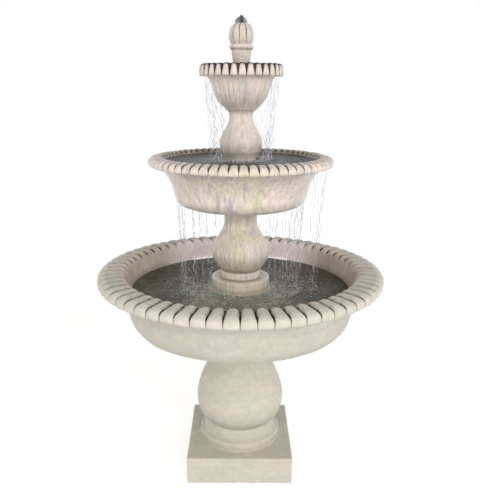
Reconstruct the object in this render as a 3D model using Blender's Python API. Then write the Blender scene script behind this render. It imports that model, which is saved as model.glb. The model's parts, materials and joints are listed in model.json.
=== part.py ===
"""Three-tier cast-stone water fountain, modelled piece by piece in metres, +Z up, origin under the plinth.

From the ground up: pedestal, main basin, pump housing, lower column, middle bowl, upper column, top bowl and
finial. The castings only stack, so each one lifts off. A small submersible pump under the housing feeds a
hose that climbs inside the columns to the spout on top.
"""

from math import cos, pi, radians, sin

import bmesh
import bpy
from mathutils import Matrix, Vector

# ---------------------------------------------------------------- driving dimensions
GAP = 0.0003  # clearance between pieces that touch

# Heights at which one casting sits on the next
PLINTH_TOP = 0.115
PEDESTAL_TOP = 0.620
PAD_THICKNESS = 0.003
BASIN_BOTTOM = PEDESTAL_TOP + PAD_THICKNESS + 2 * GAP
BASIN_FLOOR = 0.660
HOUSING_TOP = 0.830
MIDDLE_BOTTOM = 1.119
MIDDLE_FLOOR = 1.150
TOP_BOTTOM = 1.490
TOP_FLOOR = 1.520
FINIAL_TOP = 1.8045
SPOUT_TOP = 1.830

# Pedestal
PLINTH_SIDE = 0.43
PEDESTAL_BORE = 0.078
CORD_NOTCH_WIDTH = 0.014
CORD_NOTCH_HEIGHT = 0.009
PAD_RADIUS = 0.016
PAD_CIRCLE = 0.109

# Bowls
MAIN_BEADS = 64
MIDDLE_BEADS = 64
TOP_BEADS = 32
FINIAL_LOBES = 10

# Pump housing and column
HOUSING_RADIUS = 0.1263
HOUSING_CAP_RADIUS = 0.1184
HOUSING_INNER = 0.100
HOUSING_STEP = 0.7855
HOUSING_CEILING = 0.800
INLET_WIDTH = 0.050
INLET_HEIGHT = 0.052
LOWER_BORE = 0.031  # through the housing's top and the lower column
UPPER_BORE = 0.022
REGISTER_RADIUS = 0.038
REGISTER_DEPTH = 0.006

# Plumbing
HOSE_OUTER, HOSE_INNER = 0.0090, 0.0067
TUBE_OUTER, TUBE_INNER = 0.00635, 0.0051
FINIAL_TUBE_OUTER, FINIAL_TUBE_INNER = 0.0060, 0.0048
CLAMP_HEIGHTS = (0.747, 1.1815, 1.538)
CLAMP_HEIGHT = 0.009
CLAMP_WALL = 0.0008
CLAMP_SCREW_X = 0.0135  # the screw runs along Y beside the band
CLAMP_SCREW_RADIUS = 0.0015
CLAMP_HEAD_RADIUS = 0.0033

# Pump, lying along X with its outlet on the fountain's axis
PUMP_AXIS_Z = 0.698
PUMP_HALF = 0.030
PUMP_EDGE = 0.004  # rounding of the motor body's and the volute's edges
PUMP_FACE = 0.0145  # where the motor body meets the volute
PUMP_REAR = 0.080
STRAINER_FRONT = -0.055
STRAINER_WALL = 0.002
SLOT_WIDTH = 0.003
SLOT_HEIGHT = 0.040
IMPELLER_RADIUS = 0.016
IMPELLER_FRONT, IMPELLER_REAR = -0.0015, 0.0130
CHAMBER_FRONT = -0.006
OUTLET_RADIUS = 0.0045
BARB_TOP = 0.765
MAGNET_RADIUS = 0.0118
MAGNET_FRONT, MAGNET_REAR = 0.0160, 0.0600
MAGNET_BORE_REAR = 0.066
SHAFT_RADIUS = 0.0015
SHAFT_FRONT, SHAFT_REAR = -0.0095, 0.0652
BUSH_RADIUS = 0.0042
DIAL_FRONT = -0.0042  # from the strainer's face
CORD_EXIT_DROP = 0.012  # the gland's axis below the pump's
GLAND_REAR = 0.092
STOPPER_Y = 0.055  # the basin's cord hole, behind the pump

STONE = ((0.60, 0.56, 0.47), 0.85, 0.0)
STONE_UPPER = ((0.58, 0.52, 0.47), 0.75, 0.0)
RUBBER = ((0.03, 0.03, 0.03), 0.70, 0.0)
COPPER = ((0.72, 0.38, 0.22), 0.30, 1.0)
STEEL = ((0.55, 0.56, 0.58), 0.35, 1.0)
BLACK_PLASTIC = ((0.02, 0.02, 0.022), 0.45, 0.0)
CLEAR_HOSE = ((0.55, 0.60, 0.58), 0.25, 0.0)
CERAMIC = ((0.85, 0.84, 0.80), 0.30, 0.0)
FERRITE = ((0.10, 0.10, 0.11), 0.50, 0.0)


# ---------------------------------------------------------------- helpers
def clear_scene():
    for obj in list(bpy.data.objects):
        bpy.data.objects.remove(obj, do_unlink=True)


def material(name, colour, roughness, metallic):
    found = bpy.data.materials.get(name)
    if found:
        return found
    made = bpy.data.materials.new(name)
    made.use_nodes = True
    shader = made.node_tree.nodes["Principled BSDF"]
    shader.inputs["Base Color"].default_value = (*colour, 1.0)
    shader.inputs["Roughness"].default_value = roughness
    shader.inputs["Metallic"].default_value = metallic
    made.diffuse_color = (*colour, 1.0)
    return made


def add_object(name, bm, finish_name, finish, location=(0, 0, 0)):
    """Turns bm into a named object with outward faces, smooth where it is round."""
    bmesh.ops.recalc_face_normals(bm, faces=bm.faces)
    mesh = bpy.data.meshes.new(name)
    bm.to_mesh(mesh)
    bm.free()
    mesh.materials.append(material(finish_name, *finish))
    mesh.shade_smooth()
    mesh.set_sharp_from_angle(angle=radians(35))
    obj = bpy.data.objects.new(name, mesh)
    obj.location = location
    bpy.context.scene.collection.objects.link(obj)
    return obj


def turned(outline, segments):
    """A bmesh of the closed (radius, height) outline spun about Z. The outline may end on the axis."""
    bm = bmesh.new()
    points = [bm.verts.new((radius, 0, height)) for radius, height in outline]
    on_axis = outline[0][0] == 0 and outline[-1][0] == 0
    edges = [bm.edges.new(pair) for pair in zip(points, points[1:])]
    if not on_axis:
        edges.append(bm.edges.new((points[-1], points[0])))
    bmesh.ops.spin(
        bm,
        geom=points + edges,
        cent=(0, 0, 0),
        axis=(0, 0, 1),
        angle=2 * pi,
        steps=segments,
        use_merge=True,
    )
    bmesh.ops.remove_doubles(bm, verts=bm.verts, dist=1e-6)
    return bm


def tube(outer, inner, low, high, segments):
    return turned([(inner, low), (outer, low), (outer, high), (inner, high)], segments)


def box(low, high):
    bm = bmesh.new()
    size = Vector(high) - Vector(low)
    middle = (Vector(high) + Vector(low)) / 2
    matrix = Matrix.Translation(middle) @ Matrix.Diagonal((*size, 1.0))
    bmesh.ops.create_cube(bm, size=1.0, matrix=matrix)
    return bm


def cylinder(radius, start, end, segments, end_radius=None):
    """A solid round bar between two points, or a cone when end_radius is given."""
    bm = bmesh.new()
    run = Vector(end) - Vector(start)
    middle = (Vector(end) + Vector(start)) / 2
    matrix = Matrix.Translation(middle) @ run.to_track_quat("Z", "Y").to_matrix().to_4x4()
    bmesh.ops.create_cone(
        bm,
        cap_ends=True,
        segments=segments,
        radius1=radius,
        radius2=radius if end_radius is None else end_radius,
        depth=run.length,
        matrix=matrix,
    )
    return bm


def helper(name, bm):
    """A hidden mesh that a Boolean reads."""
    obj = add_object(name, bm, "helper", ((1, 0, 0), 1.0, 0.0))
    obj.hide_render = True
    obj.display_type = "WIRE"
    return obj


def boolean(obj, operation, bm):
    count = len(obj.modifiers)
    modifier = obj.modifiers.new(f"{operation.lower()}_{count}", "BOOLEAN")
    modifier.operation = operation
    modifier.object = helper(f"{obj.name}_{modifier.name}", bm)


def cut(obj, *cutters):
    for bm in cutters:
        boolean(obj, "DIFFERENCE", bm)


def join(obj, *shapes):
    for bm in shapes:
        boolean(obj, "UNION", bm)


def bevel(obj, width, segments=1):
    """Rounds the sharp edges. It goes on before the Booleans, so that the cut edges stay sharp."""
    modifier = obj.modifiers.new("bevel", "BEVEL")
    modifier.width = width
    modifier.segments = segments
    modifier.limit_method = "ANGLE"
    modifier.angle_limit = radians(60)


def ringed(rows, phase=0.0):
    """A bmesh skinned over rows of rings, from the first row to the last.

    A row is (radius, height, columns, groove): every second point of a grooved row is moved by groove, a
    (radius, height) step. A row with one column is a point on the axis. Rows that don't end on the axis
    close into a loop.
    """
    bm = bmesh.new()
    rings = []
    for radius, height, columns, groove in rows:
        ring = []
        for column in range(columns):
            step = groove if column % 2 else (0, 0)
            angle = phase + 2 * pi * column / columns
            reach = radius + step[0]
            place = (reach * cos(angle), reach * sin(angle), height + step[1])
            ring.append(bm.verts.new(place))
        rings.append(ring)
    pairs = list(zip(rings, rings[1:]))
    if len(rings[0]) > 1:
        pairs.append((rings[-1], rings[0]))
    for first, second in pairs:
        skin(bm, first, second)
    return bm


def skin(bm, first, second):
    """Faces between two rings, where one may have a whole multiple of the other's points, or be a point."""
    fine, coarse = (first, second) if len(first) >= len(second) else (second, first)
    count, ratio = len(fine), len(fine) // len(coarse)
    if len(coarse) == 1:
        for i in range(count):
            bm.faces.new((fine[i], fine[(i + 1) % count], coarse[0]))
        return
    for i, corner in enumerate(coarse):
        following = coarse[(i + 1) % len(coarse)]
        arc = [fine[(i * ratio + k) % count] for k in range(ratio + 1)]
        if ratio == 1:
            bm.faces.new((corner, arc[0], arc[1], following))
            continue
        middle = ratio // 2
        for k in range(ratio):
            bm.faces.new((corner if k < middle else following, arc[k], arc[k + 1]))
        bm.faces.new((corner, arc[middle], following))


def plain(points, columns):
    return [(radius, height, columns, (0, 0)) for radius, height in points]


def beaded(points, beads, core, depth):
    """Rows across a beaded rim, each groove pointing at the rim's core; depth is each row's groove depth."""
    rows = []
    for (radius, height), groove in zip(points, depth):
        inward = Vector((core[0] - radius, core[1] - height)).normalized() * groove
        rows.append((radius, height, 2 * beads, tuple(inward)))
    return rows


def outlet_hole(bottom, floor, low_radius, high_radius):
    """The tapered hole through a bowl's floor that its stopper plugs, from the top edge down."""
    return plain([(high_radius, floor), (low_radius, bottom)], 16)


# ---------------------------------------------------------------- castings
def pedestal():
    sunk = 0.004  # how far the turned part reaches into the plinth
    ring = [(0.1685, PLINTH_TOP - sunk), (0.1710, 0.121), (0.1710, 0.147), (0.1660, 0.153)]
    cove = [(0.1560, 0.160), (0.1450, 0.177), (0.1395, 0.199)]
    bulb = [
        (0.1520, 0.208),
        (0.1700, 0.236),
        (0.1795, 0.267),
        (0.1830, 0.300),
        (0.1800, 0.332),
        (0.1710, 0.366),
        (0.1578, 0.402),
        (0.1427, 0.435),
        (0.1300, 0.468),
        (0.1200, 0.515),
        (0.1210, 0.570),
        (0.1380, PEDESTAL_TOP),
    ]
    bore = [(PEDESTAL_BORE, PEDESTAL_TOP), (PEDESTAL_BORE, PLINTH_TOP - sunk)]
    half = PLINTH_SIDE / 2
    obj = add_object("pedestal", box((-half, -half, 0), (half, half, PLINTH_TOP)), "stone", STONE)
    bevel(obj, 0.005)
    join(obj, turned(ring + cove + bulb + bore, 32))
    notch = CORD_NOTCH_WIDTH / 2
    cut(
        obj,
        cylinder(PEDESTAL_BORE, (0, 0, -0.01), (0, 0, PLINTH_TOP + 0.01), 32),
        box((-notch, -half - 0.01, -0.01), (notch, 0, CORD_NOTCH_HEIGHT)),
    )


def setting_pads():
    for i in range(3):
        angle = radians(90 + 120 * i)
        place = (PAD_CIRCLE * cos(angle), PAD_CIRCLE * sin(angle), PEDESTAL_TOP + GAP)
        bm = cylinder(PAD_RADIUS, (0, 0, 0), (0, 0, PAD_THICKNESS), 16)
        add_object(f"setting_pad_{i + 1}", bm, "rubber", RUBBER, place)


def main_basin():
    underside = [(0.300, 0.626), (0.395, 0.631), (0.425, 0.642)]
    body = [(0.443, 0.666), (0.456, 0.709), (0.468, 0.755), (0.482, 0.795), (0.500, 0.814)]
    rim = [
        (0.554, 0.8165),
        (0.573, 0.8285),
        (0.573, 0.847),
        (0.561, 0.860),
        (0.528, 0.865),
        (0.478, 0.8635),
        (0.457, 0.850),
    ]
    wall = [(0.449, 0.812), (0.440, 0.776)]
    floor = [(0.420, 0.738), (0.390, 0.700), (0.335, 0.672), (0.260, BASIN_FLOOR)]
    rows = (
        plain([(0, BASIN_BOTTOM)], 1)
        + plain([(0.200, BASIN_BOTTOM)], 16)
        + plain(underside, 32)
        + plain(body[:-1], 32)
        + plain(body[-1:], 64)
        + beaded(rim, MAIN_BEADS, (0.514, 0.838), (0.003, 0.007, 0.008, 0.008, 0.008, 0.006, 0.002))
        + plain(wall[:1], 64)
        + plain(wall[1:] + floor, 32)
        + plain([(0, BASIN_FLOOR)], 1)
    )
    obj = add_object("main_basin", ringed(rows, pi / MAIN_BEADS), "stone", STONE)
    low, high = (0, STOPPER_Y, BASIN_BOTTOM - 0.01), (0, STOPPER_Y, BASIN_FLOOR + 0.01)
    cut(obj, cylinder(0.0140, low, high, 16, 0.0165))


def basin_stopper():
    flange = BASIN_FLOOR + GAP
    outline = [
        (0.0045, BASIN_BOTTOM + 0.004),
        (0.0131, BASIN_BOTTOM + 0.004),
        (0.0150, BASIN_FLOOR - 0.002),
        (0.0150, flange),
        (0.0170, flange),
        (0.0170, flange + 0.004),
        (0.0045, flange + 0.004),
    ]
    add_object("basin_stopper", turned(outline, 16), "rubber", RUBBER, (0, STOPPER_Y, 0))


def pump_housing():
    base = BASIN_FLOOR + GAP
    cap_edge = 0.004
    outline = [
        (HOUSING_INNER, base),
        (HOUSING_RADIUS, base),
        (HOUSING_RADIUS, HOUSING_STEP - cap_edge),
        (HOUSING_RADIUS - cap_edge, HOUSING_STEP),
        (HOUSING_CAP_RADIUS, HOUSING_STEP),
        (HOUSING_CAP_RADIUS, HOUSING_TOP - cap_edge),
        (HOUSING_CAP_RADIUS - cap_edge, HOUSING_TOP),
        (REGISTER_RADIUS, HOUSING_TOP),
        (REGISTER_RADIUS, HOUSING_TOP - REGISTER_DEPTH),
        (LOWER_BORE, HOUSING_TOP - REGISTER_DEPTH),
        (LOWER_BORE, HOUSING_CEILING),
        (HOUSING_INNER, HOUSING_CEILING),
    ]
    obj = add_object("pump_housing", turned(outline, 32), "stone", STONE)
    for along_y in (False, True):
        cut(obj, water_inlets(along_y))


def water_inlets(along_y):
    """A round-topped tunnel right through the housing, along X or along Y."""
    half = INLET_WIDTH / 2
    reach = HOUSING_RADIUS + 0.02
    low, springing = BASIN_FLOOR - 0.01, BASIN_FLOOR + INLET_HEIGHT - half
    arch = [(-half, low), (half, low)]
    arch += [(half * cos(pi * i / 8), springing + half * sin(pi * i / 8)) for i in range(9)]
    bm = bmesh.new()
    face = bm.faces.new([bm.verts.new((-reach, side, height)) for side, height in arch])
    far = bmesh.ops.extrude_face_region(bm, geom=[face])["geom"]
    moved = [item for item in far if isinstance(item, bmesh.types.BMVert)]
    bmesh.ops.translate(bm, verts=moved, vec=(2 * reach, 0, 0))
    if along_y:
        bmesh.ops.rotate(bm, verts=bm.verts, matrix=Matrix.Rotation(pi / 2, 3, "Z"))
    return bm


def column(name, outline, bottom, top, bore, spigot, finish):
    """A bored column casting, with a spigot on top for the bowl and, if asked, one below as well."""
    peg = REGISTER_RADIUS - 2 * GAP
    peg_depth = REGISTER_DEPTH - GAP
    lower = [(bore, bottom)]
    if spigot:
        lower = [(bore, bottom - peg_depth), (peg, bottom - peg_depth), (peg, bottom)]
    upper = [(peg, top), (peg, top + peg_depth), (bore, top + peg_depth)]
    add_object(name, turned(lower + outline + upper, 24), *finish)


def lower_column():
    bottom, top = HOUSING_TOP + GAP, MIDDLE_BOTTOM - GAP
    foot = [(0.0805, bottom), (0.0828, 0.834), (0.0828, 0.850), (0.0770, 0.858)]
    bulb = [
        (0.0765, 0.860),
        (0.0955, 0.879),
        (0.1095, 0.903),
        (0.1153, 0.930),
        (0.1116, 0.952),
        (0.1031, 0.976),
        (0.0871, 1.005),
        (0.0725, 1.029),
        (0.0655, 1.055),
        (0.0662, 1.080),
        (0.0720, top),
    ]
    column("lower_column", foot + bulb, bottom, top, LOWER_BORE, True, ("stone", STONE))


def bowl_register(bottom):
    """The socket in a bowl's underside that the column's spigot fills."""
    peg = REGISTER_RADIUS
    return [(peg, bottom + REGISTER_DEPTH), (peg, bottom)]


def middle_bowl():
    body = [
        (0.128, 1.1200),
        (0.185, 1.1205),
        (0.222, 1.126),
        (0.246, 1.138),
        (0.258, 1.158),
        (0.265, 1.188),
        (0.277, 1.222),
        (0.296, 1.254),
        (0.322, 1.2805),
    ]
    rim = [
        (0.349, 1.282),
        (0.359, 1.291),
        (0.3585, 1.303),
        (0.351, 1.3125),
        (0.332, 1.318),
        (0.312, 1.319),
        (0.300, 1.306),
    ]
    wall = [(0.284, 1.262), (0.262, 1.215)]
    floor = [(0.235, 1.176), (0.200, 1.156), (0.150, MIDDLE_FLOOR)]
    rows = (
        plain(bowl_register(MIDDLE_BOTTOM) + body[:-1], 32)
        + plain(body[-1:], 64)
        + beaded(rim, MIDDLE_BEADS, (0.331, 1.299), (0.002, 0.004, 0.0045, 0.0045, 0.004, 0.003, 0.001))
        + plain(wall[:1], 64)
        + plain(wall[1:] + floor, 32)
        + outlet_hole(MIDDLE_BOTTOM + REGISTER_DEPTH, MIDDLE_FLOOR, 0.0160, 0.0190)
    )
    add_object("middle_bowl", ringed(rows, pi / MIDDLE_BEADS - radians(1.25)), "stone_upper", STONE_UPPER)


def bowl_stopper(name, bottom, floor, low_radius, high_radius):
    """The tapered rubber bung that seals the riser tube in a bowl's floor hole."""
    hole = TUBE_OUTER + GAP
    outline = [
        (hole, bottom + 0.003),
        (low_radius - GAP, bottom + 0.003),
        (high_radius - 2 * GAP, floor - 0.001),
        (high_radius - 2 * GAP, floor + GAP),
        (high_radius + 0.001, floor + GAP),
        (high_radius + 0.001, floor + 0.005),
        (hole, floor + 0.005),
    ]
    add_object(name, turned(outline, 12), "rubber", RUBBER)


def upper_column():
    bottom, top = MIDDLE_FLOOR + GAP, TOP_BOTTOM - GAP
    outline = [
        (0.0780, bottom),
        (0.0780, 1.172),
        (0.0640, 1.205),
        (0.0570, 1.255),
        (0.0560, 1.290),
        (0.0635, 1.316),
        (0.0770, 1.338),
        (0.0830, 1.366),
        (0.0800, 1.384),
        (0.0695, 1.408),
        (0.0542, 1.4335),
        (0.0473, 1.452),
        (0.0458, 1.466),
        (0.0475, 1.4785),
        (0.0530, top),
    ]
    column("upper_column", outline, bottom, top, UPPER_BORE, False, ("stone_upper", STONE_UPPER))


def top_bowl():
    body = [
        (0.0560, TOP_BOTTOM),
        (0.0607, 1.495),
        (0.0748, 1.509),
        (0.0874, 1.5215),
        (0.1015, 1.546),
        (0.1103, 1.570),
        (0.1160, 1.592),
        (0.1230, 1.606),
        (0.1320, 1.6135),
    ]
    rim = [
        (0.1560, 1.6145),
        (0.1586, 1.6210),
        (0.1586, 1.6380),
        (0.1555, 1.6520),
        (0.1450, 1.6590),
        (0.1330, 1.6550),
        (0.1260, 1.6430),
    ]
    inside = [(0.1150, 1.610), (0.0990, 1.565), (0.0780, 1.535), (0.0540, TOP_FLOOR)]
    rows = (
        plain(bowl_register(TOP_BOTTOM) + body, 32)
        + beaded(rim, TOP_BEADS, (0.142, 1.633), (0.002, 0.004, 0.005, 0.006, 0.006, 0.004, 0.001))
        + plain(inside, 32)
        + outlet_hole(TOP_BOTTOM + REGISTER_DEPTH, TOP_FLOOR, 0.0130, 0.0160)
    )
    add_object("top_bowl", ringed(rows, radians(1.3)), "stone_upper", STONE_UPPER)


def finial():
    base = TOP_FLOOR + GAP
    pocket, pocket_top = 0.0225, 1.578
    bore = FINIAL_TUBE_OUTER + 0.0005
    foot = [(0.0430, base), (0.0430, 1.545), (0.0355, 1.580), (0.0313, 1.635), (0.0312, 1.660)]
    cup = [(0.0346, 1.684), (0.0374, 1.7065), (0.0425, 1.7125), (0.0457, 1.7195), (0.0420, 1.7270)]
    lobes = [(0.0385, 1.7310), (0.0450, 1.7460), (0.0468, 1.7620), (0.0430, 1.7820), (0.0330, 1.7960)]
    depths = (0.0010, 0.0030, 0.0035, 0.0030, 0.0020)
    columns = 2 * FINIAL_LOBES
    rows = (
        plain([(pocket, base)] + foot + cup, columns)
        + [(*point, columns, (-depth, 0)) for point, depth in zip(lobes, depths)]
        + plain([(0.0180, 1.8035), (bore, FINIAL_TOP)], columns)
        + plain([(bore, 1.592), (pocket, pocket_top)], columns)
    )
    add_object("finial", ringed(rows, radians(-12.5)), "stone_upper", STONE_UPPER)


# ---------------------------------------------------------------- plumbing
def spout_nozzle():
    skirt = FINIAL_TOP + GAP
    seat = 1.8150
    outline = [
        (FINIAL_TUBE_OUTER + GAP, skirt),
        (0.0085, skirt),
        (0.0085, 1.8130),
        (0.0066, 1.8220),
        (0.0045, SPOUT_TOP),
        (0.0020, SPOUT_TOP),
        (0.0020, seat + 0.004),
        (FINIAL_TUBE_OUTER + GAP, seat),
    ]
    add_object("spout_nozzle", turned(outline, 12), "black_plastic", BLACK_PLASTIC)


def risers():
    """The hoses and rigid tubes, bottom to top, each end pushed over or into the next."""
    hose = (HOSE_OUTER, HOSE_INNER)
    copper = (TUBE_OUTER, TUBE_INNER)
    finial_tube = (FINIAL_TUBE_OUTER, FINIAL_TUBE_INNER)
    pieces = [
        ("supply_hose", hose, 0.7365, 1.080, "hose", CLEAR_HOSE),
        ("middle_riser_tube", copper, 1.045, 1.200, "copper", COPPER),
        ("upper_hose", hose, 1.172, 1.478, "hose", CLEAR_HOSE),
        ("top_riser_tube", copper, 1.452, 1.545, "copper", COPPER),
        ("coupling_hose", hose, 1.530, 1.572, "hose", CLEAR_HOSE),
        ("finial_tube", finial_tube, 1.551, 1.8147, "copper", COPPER),
    ]
    for name, (outer, inner), low, high, finish, look in pieces:
        add_object(name, tube(outer, inner, low, high, 12), finish, look)


def hose_clamp(number, height):
    """A worm-drive clamp round a hose: the band with its screw housing, and the screw."""
    inner = HOSE_OUTER + GAP
    outer = inner + CLAMP_WALL
    low, high = height - CLAMP_HEIGHT / 2, height + CLAMP_HEIGHT / 2
    obj = add_object(f"clamp_band_{number}", tube(outer, inner, low, high, 20), "steel", STEEL)
    housing_half = 0.005
    housing_low = (outer - CLAMP_WALL / 2, -housing_half, low + 0.001)
    join(obj, box(housing_low, (CLAMP_SCREW_X + 0.003, housing_half, high - 0.001)))
    cut(obj, along_y(height, -0.01, 0.01, CLAMP_SCREW_RADIUS + GAP, 8))
    head = along_y(height, housing_half + GAP, 0.0085, CLAMP_HEAD_RADIUS, 6)
    screw = add_object(f"clamp_screw_{number}", head, "steel", STEEL)
    join(screw, along_y(height, -0.007, 0.006, CLAMP_SCREW_RADIUS, 8))


def along_y(height, y_low, y_high, radius, segments):
    """A round bar on a clamp screw's axis."""
    return cylinder(radius, (CLAMP_SCREW_X, y_low, height), (CLAMP_SCREW_X, y_high, height), segments)


# ---------------------------------------------------------------- pump
def pump_box(x_low, x_high, wall=0.0):
    half = PUMP_HALF - wall
    low = (x_low, -half, PUMP_AXIS_Z - half)
    return box(low, (x_high, half, PUMP_AXIS_Z + half))


def along_x(x_low, x_high, radius, segments):
    return cylinder(radius, (x_low, 0, PUMP_AXIS_Z), (x_high, 0, PUMP_AXIS_Z), segments)


def lay_along_x(bm, height=PUMP_AXIS_Z):
    """Turns a piece made upright at the origin so that its Z runs along X at the given height."""
    bmesh.ops.rotate(bm, verts=bm.verts, matrix=Matrix.Rotation(pi / 2, 3, "Y"))
    bmesh.ops.translate(bm, verts=bm.verts, vec=(0, 0, height))


def pump_body():
    obj = add_object("pump_body", pump_box(PUMP_FACE, PUMP_REAR), "black_plastic", BLACK_PLASTIC)
    bevel(obj, PUMP_EDGE)
    cut(obj, along_x(PUMP_FACE - 0.01, MAGNET_BORE_REAR, MAGNET_RADIUS + 0.0007, 24))
    groove = tube(0.0243, 0.0212, PUMP_FACE - 0.001, PUMP_FACE + 0.0015, 20)
    lay_along_x(groove)
    cut(obj, groove)


def pump_seal():
    """The O-ring in the motor body's face groove."""
    bm = tube(0.0237, 0.0218, PUMP_FACE + GAP / 2, PUMP_FACE + 0.0012, 20)
    lay_along_x(bm)
    add_object("pump_seal", bm, "rubber", RUBBER)


def pump_volute():
    """The impeller's chamber, with four inlets round the shaft's front seat and the hose barb on top."""
    front, back = -PUMP_FACE, PUMP_FACE - GAP
    obj = add_object("pump_volute", pump_box(front, back), "black_plastic", BLACK_PLASTIC)
    bevel(obj, PUMP_EDGE)
    join(obj, cylinder(TUBE_OUTER, (0, 0, PUMP_AXIS_Z + PUMP_HALF - 0.005), (0, 0, BARB_TOP), 16))
    seat_front = -0.010
    cut(
        obj,
        along_x(CHAMBER_FRONT, back + 0.01, IMPELLER_RADIUS + 0.002, 24),
        cylinder(OUTLET_RADIUS, (0.003, 0, PUMP_AXIS_Z + 0.01), (0, 0, BARB_TOP + 0.01), 12),
        along_x(seat_front, 0, BUSH_RADIUS + GAP, 12),
    )
    inlet_circle, inlet_radius = 0.0105, 0.0042
    for i in range(4):
        angle = radians(45 + 90 * i)
        side, height = inlet_circle * cos(angle), PUMP_AXIS_Z + inlet_circle * sin(angle)
        cut(obj, cylinder(inlet_radius, (front - 0.01, side, height), (0, side, height), 10))


def pump_rotor():
    """The magnet and its impeller, one moulding, bored for the shaft."""
    magnet = along_x(MAGNET_FRONT, MAGNET_REAR, MAGNET_RADIUS, 20)
    obj = add_object("pump_rotor", magnet, "ferrite", FERRITE)
    join(obj, along_x(IMPELLER_FRONT - 0.0015, MAGNET_FRONT + 0.004, 0.0055, 12))
    half_blade = 0.0008
    for i in range(3):
        blade = box(
            (IMPELLER_FRONT, -IMPELLER_RADIUS, -half_blade),
            (IMPELLER_REAR, IMPELLER_RADIUS, half_blade),
        )
        bmesh.ops.rotate(blade, verts=blade.verts, matrix=Matrix.Rotation(pi * i / 3, 3, "X"))
        bmesh.ops.translate(blade, verts=blade.verts, vec=(0, 0, PUMP_AXIS_Z))
        join(obj, blade)
    cut(obj, along_x(SHAFT_FRONT - 0.01, SHAFT_REAR + 0.01, SHAFT_RADIUS + GAP, 12))


def pump_shaft():
    bm = along_x(SHAFT_FRONT, SHAFT_REAR, SHAFT_RADIUS, 12)
    add_object("pump_shaft", bm, "ceramic", CERAMIC)


def pump_bush(name, x_low, x_high, outer):
    bm = tube(outer, SHAFT_RADIUS + GAP, x_low, x_high, 12)
    lay_along_x(bm)
    add_object(name, bm, "rubber", RUBBER)


def pump_strainer():
    back = -PUMP_FACE - GAP
    obj = add_object("pump_strainer", pump_box(STRAINER_FRONT, back), "black_plastic", BLACK_PLASTIC)
    bevel(obj, 0.0015)
    hollow = pump_box(STRAINER_FRONT + STRAINER_WALL, back + 0.01, STRAINER_WALL)
    cut(obj, hollow, along_x(STRAINER_FRONT - 0.015, STRAINER_FRONT + 0.015, 0.0033, 12))
    half_width = SLOT_WIDTH / 2
    low, high = PUMP_AXIS_Z - SLOT_HEIGHT / 2, PUMP_AXIS_Z + SLOT_HEIGHT / 2
    for i in (-2, -1, 1, 2):
        side = 0.0095 * i
        slot_low = (STRAINER_FRONT - 0.01, side - half_width, low)
        cut(obj, box(slot_low, (STRAINER_FRONT + 0.01, side + half_width, high)))
    reach = PUMP_HALF + 0.01
    for i in range(4):
        place = STRAINER_FRONT + 0.008 * (i + 1)
        cut(obj, box((place - half_width, -reach, low), (place + half_width, reach, high)))


def flow_dial():
    """The knob on the strainer that throttles the pump, with its origin on its own axis."""
    disc = cylinder(0.0065, (DIAL_FRONT, 0, 0), (-GAP, 0, 0), 16)
    obj = add_object("flow_dial", disc, "black_plastic", BLACK_PLASTIC, (STRAINER_FRONT, 0, PUMP_AXIS_Z))
    shapes = {
        "spindle": cylinder(0.0030, (-0.002, 0, 0), (0.006, 0, 0), 12),
        "pointer": box((DIAL_FRONT - 0.0015, -0.0012, 0.0005), (DIAL_FRONT + 0.001, 0.0012, 0.0060)),
    }
    for name, bm in shapes.items():
        guide = helper(f"flow_dial_{name}", bm)
        guide.parent = obj
        modifier = obj.modifiers.new(name, "BOOLEAN")
        modifier.operation = "UNION"
        modifier.object = guide


def cord_gland():
    """Where the supply cord would leave the motor body."""
    bm = tube(0.0060, 0.0036, PUMP_REAR + GAP, GLAND_REAR, 12)
    lay_along_x(bm, PUMP_AXIS_Z - CORD_EXIT_DROP)
    add_object("cord_gland", bm, "rubber", RUBBER)


def suction_feet():
    low, high = BASIN_FLOOR + GAP, PUMP_AXIS_Z - PUMP_HALF - GAP
    cup = [(0, low + 0.0035), (0.0060, low + 0.0015), (0.0085, low), (0.0092, low + 0.0008)]
    outline = cup + [(0.0040, high - 0.0015), (0.0040, high), (0, high)]
    corners = [(x, y) for x in (0.027, 0.069) for y in (-0.018, 0.018)]
    for i, (x, y) in enumerate(corners):
        add_object(f"suction_foot_{i + 1}", turned(outline, 10), "rubber", RUBBER, (x, y, 0))


def pump():
    pump_body()
    pump_seal()
    pump_volute()
    pump_rotor()
    pump_shaft()
    pump_bush("front_bush", -0.0096, -0.0063, BUSH_RADIUS)
    pump_bush("rear_bush", 0.0625, 0.0657, MAGNET_RADIUS + 0.0003)
    pump_strainer()
    flow_dial()
    cord_gland()
    suction_feet()


def build():
    clear_scene()
    pedestal()
    setting_pads()
    main_basin()
    basin_stopper()
    pump()
    pump_housing()
    lower_column()
    middle_bowl()
    bowl_stopper("middle_stopper", MIDDLE_BOTTOM + REGISTER_DEPTH, MIDDLE_FLOOR, 0.0160, 0.0190)
    upper_column()
    top_bowl()
    bowl_stopper("top_stopper", TOP_BOTTOM + REGISTER_DEPTH, TOP_FLOOR, 0.0130, 0.0160)
    finial()
    spout_nozzle()
    risers()
    for number, height in enumerate(CLAMP_HEIGHTS, start=1):
        hose_clamp(number, height)


build()
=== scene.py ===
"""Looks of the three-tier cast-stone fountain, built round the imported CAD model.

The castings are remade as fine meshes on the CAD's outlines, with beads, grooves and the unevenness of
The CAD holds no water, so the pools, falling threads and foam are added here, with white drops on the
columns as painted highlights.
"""

import json
from math import ceil, cos, pi, radians, sin

import bmesh
import bpy
import numpy as np
from mathutils import Matrix, Vector, noise

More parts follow.
